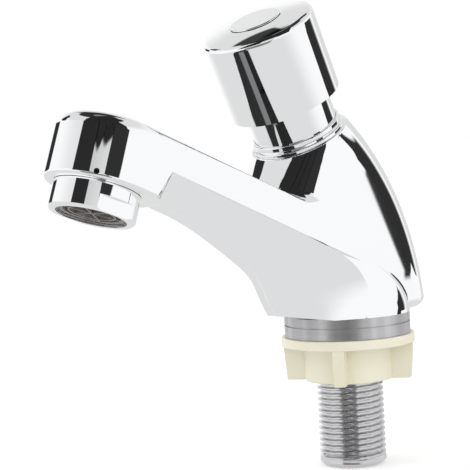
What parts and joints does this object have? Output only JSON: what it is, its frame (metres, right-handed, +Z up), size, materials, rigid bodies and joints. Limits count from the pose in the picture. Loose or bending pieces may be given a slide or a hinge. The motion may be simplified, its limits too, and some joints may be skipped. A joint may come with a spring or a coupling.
{
  "type": "push timed tap",
  "caption": "Deck mounted basin tap with a slanted push button that lets water run for a set time from a low spout with an aerator.",
  "frame": {"origin": "on the axis of the threaded shank, in the plane of the deck under the base ring", "axes": "+Z up, the spout points to -Y, X across"},
  "size_m": [0.0417, 0.1469, 0.1436],
  "materials": {
    "polished_chrome": "polished",
    "turned_steel": "turned",
    "black_rubber": "matte",
    "bright_thread": "threaded",
    "fibre": "matte",
    "filter_plastic": "matte",
    "raw_brass": "machined",
    "cylinder_plastic": "smooth",
    "spring_steel": "drawn",
    "insert_plastic": "matte",
    "screen_steel": "matte",
    "screw_steel": "machined",
    "piston_plastic": "matte",
    "ivory_plastic": "smooth"
  },
  "bodies": {
    "tap": {"tap_body": "polished_chrome", "base_ring": "turned_steel", "deck_seal": "black_rubber", "threaded_shank": "bright_thread", "shank_washer": "fibre", "inlet_filter": "filter_plastic", "valve_cage": "raw_brass", "cage_o_ring": "black_rubber", "valve_seat": "raw_brass", "dashpot_cylinder": "cylinder_plastic", "flange_o_ring": "black_rubber", "stem_seal": "black_rubber", "return_spring": "spring_steel", "guide_sleeve": "polished_chrome", "guide_bush": "cylinder_plastic", "bezel_ring": "polished_chrome", "aerator_shell": "polished_chrome", "aerator_insert": "insert_plastic", "aerator_screen": "screen_steel", "aerator_washer": "black_rubber", "aerator_lock_screw": "screw_steel"},
    "push_button": {"push_cap": "polished_chrome", "index_disc": "polished_chrome", "cap_screw": "screw_steel", "spindle": "raw_brass", "piston": "piston_plastic", "piston_lip_seal": "black_rubber", "metering_pin": "spring_steel", "valve_washer": "black_rubber", "valve_screw": "screw_steel"},
    "slip_washer": {"slip_washer": "fibre"},
    "back_nut": {"back_nut": "ivory_plastic"}
  },
  "joints": [
    {"name": "button_slide", "type": "slide", "parent": "tap", "child": "push_button", "axis": [0, 0.4431, -0.8965], "range_m": [0, 0.008], "stiffness_N_per_m": 1200, "springref_m": -0.01, "deforming": ["return_spring"]},
    {"name": "nut_travel", "type": "slide", "parent": "tap", "child": "slip_washer", "axis": [0, 0, -1], "range_m": [0, 0.026]},
    {"name": "nut_turn", "type": "hinge", "parent": "slip_washer", "child": "back_nut", "pos_m": [0, 0, 0], "axis": [0, 0, -1], "range_deg": [0, 5165]}
  ],
  "couplings": [
    {"joint": "nut_turn", "follows": "nut_travel", "rad_per_m": 3463.7}
  ]
}
